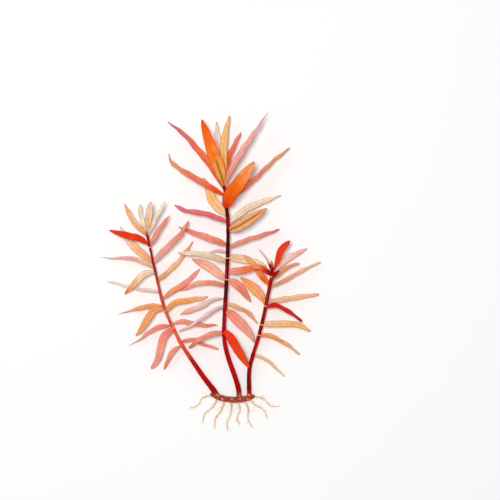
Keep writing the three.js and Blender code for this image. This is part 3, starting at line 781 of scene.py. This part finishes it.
def make_base(stems):
    """The creeping base and the foot of each stem that is one piece with it."""
    curve = Route(BASE_ROUTE)
    shares = np.linspace(0, 1, BASE_RINGS)
    ends = np.sqrt(np.clip(1 - (2 * shares - 1) ** BASE_ROUNDING, BASE_END, 1))
    from_scar = np.abs((shares * curve.length) % RING_SPACING - RING_SPACING / 2)
    ring_scars = 1 + RING_HEIGHT * np.exp(-((from_scar / RING_REACH) ** 2))
    lumps = ripple(random.Random("base"), 5)
    radius = BASE_RADIUS * ends * ring_scars * (1 + BASE_LUMPS * lumps(shares * 3))
    rings = tube_rings(curve, shares, radius * BASE_BARK, STEM_SIDES)
    pieces = [loft("base", rings, collar=np.zeros(rings.shape[:2]))]
    for shoot, stem in stems.items():
        shares = np.linspace(0, COLLAR / stem.curve.length, COLLAR_RINGS)
        rings = tube_rings(stem.curve, shares, stem.radius(shares), STEM_SIDES)
        collar = np.broadcast_to(np.linspace(0, 1, COLLAR_RINGS)[:, None], rings.shape[:2])
        pieces.append(loft(f"{shoot}_foot", rings, collar=collar))
    base = join("creeping_base", pieces)
    base.data.materials.append(base_material())
    return base


def make_roots():
    """The main roots, lumpy and rounded off at their tips."""
    pieces = []
    for i, points in enumerate(ROOTS):
        curve = Route(points)
        shares = np.linspace(0, 1, ROOT_RINGS)
        lumps = ripple(random.Random(f"root {i}"), 6)
        ends = np.sqrt(np.clip((1 - shares) * ROOT_BLUNTNESS, LEAST_END, 1))
        radius = ROOT_RADIUS + (ROOT_TIP_RADIUS - ROOT_RADIUS) * shares
        radius = radius * (1 + ROOT_LUMPS * lumps(shares * 3)) * ends
        rings = tube_rings(curve, shares, radius, ROOT_SIDES)
        rings[..., 2] = np.maximum(rings[..., 2], ROOT_LEAST_HEIGHT)
        pieces.append(loft(f"root_{i}", rings))
    roots = join("main_roots", pieces)
    roots.data.materials.append(root_material())
    return roots


def make_rootlets():
    """Fine wandering rootlets off both sides of each main root, lying on the surface."""
    rng = random.Random("rootlets")
    pieces = []
    for i, points in enumerate(ROOTS):
        curve = Route(points)
        count = int(curve.length / ROOTLET_SPACING)
        for k in range(FIRST_ROOTLET, count):
            share = k / count
            x, y, z = curve.at(share)
            forward = curve.heading(share)
            angle = math.atan2(forward[1], forward[0])
            angle += rng.choice((-1, 1)) * rng.uniform(*ROOTLET_LEAVING)
            length = rng.uniform(*ROOTLET_LENGTHS) * (ROOTLET_LONGEST - share * ROOTLET_SHORTENING)
            step = length / ROOTLET_BENDS
            places = [(x, y, z)]
            for _ in range(ROOTLET_BENDS):
                angle += rng.uniform(-ROOTLET_WANDER, ROOTLET_WANDER)
                x += step * math.cos(angle)
                y += step * math.sin(angle)
                z *= ROOTLET_SINKING
                places.append((x, max(y, ROOTLET_FRONT), max(z, ROOTLET_LEAST_HEIGHT)))
            shares = np.linspace(0, 1, ROOTLET_RINGS)
            radius = ROOTLET_RADIUS * (1 - ROOTLET_THINNING * shares)
            rings = tube_rings(Route(places), shares, radius, ROOTLET_SIDES)
            pieces.append(loft(f"rootlet_{i}_{k}", rings))
    rootlets = join("rootlets", pieces)
    rootlets.data.materials.append(root_material())
    return rootlets


def make_floor():
    """A plain pale floor, which isn't part of the plant."""
    bpy.ops.mesh.primitive_plane_add(size=FLOOR_SIZE)
    floor = bpy.context.object
    floor.name = "floor"
    paper = Shader("pale_floor", 0.9)
    grain = paper.noise(900, 3)
    colour = paper.mix(grain, *FLOOR_SHADES)
    floor.data.materials.append(paper.finish(colour, grain, 0.00005))


def make_lights():
    """Soft light from above, a little more from the left, and a white sky."""
    scene = bpy.context.scene
    scene.view_settings.view_transform = "Standard"
    world = bpy.data.worlds.new("studio")
    scene.world = world
    world.use_nodes = True
    background = world.node_tree.nodes["Background"]
    background.inputs["Color"].default_value = (1, 1, 1, 1)
    background.inputs["Strength"].default_value = SKY_STRENGTH

    for name, place, size, power in LIGHTS:
        light = bpy.data.lights.new(name, "AREA")
        light.size = size
        light.energy = power
        lamp = bpy.data.objects.new(name, light)
        lamp.location = place
        lamp.rotation_mode = "QUATERNION"
        lamp.rotation_quaternion = lamp.location.to_track_quat("Z", "Y")
        scene.collection.objects.link(lamp)


def make_camera():
    """A camera that looks straight down."""
    camera = bpy.data.objects.new("camera", bpy.data.cameras.new("camera"))
    camera.data.lens = LENS
    camera.data.sensor_width = SENSOR
    distance = PICTURE_WIDTH * LENS / SENSOR
    camera.location = (PICTURE_MIDDLE - BOX_MIDDLE + UP * distance) * MM
    camera.data.clip_end = CAMERA_REACH
    bpy.context.scene.collection.objects.link(camera)
    bpy.context.scene.camera = camera


def wear(piece, node):
    """The piece stands for a node of the frame: it hangs from the root body, and the node's solid is
    hidden.
    """
    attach(piece, "root")
    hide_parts(node)


make_floor()
make_lights()
make_camera()
stems = {shoot: LiveStem(shoot) for shoot in STEMS}
for shoot, stem in stems.items():
    wear(make_stem(f"{shoot}_stem_skin", stem), f"{shoot}_stem")
    for i, row in enumerate(LEAVES[shoot], 1):
        node = f"{shoot}_leaf_{i:02d}"
        wear(make_leaf(f"{node}_blade", row, stem), node)
    for i, row in enumerate(YOUNG_LEAVES[shoot], 1):
        young = make_leaf(f"{shoot}_young_leaf_{i}", row, stem, fused=True)
        wear(young, f"{shoot}_stem")
wear(make_base(stems), "crown")
wear(make_roots(), "crown")
wear(make_rootlets(), "crown")
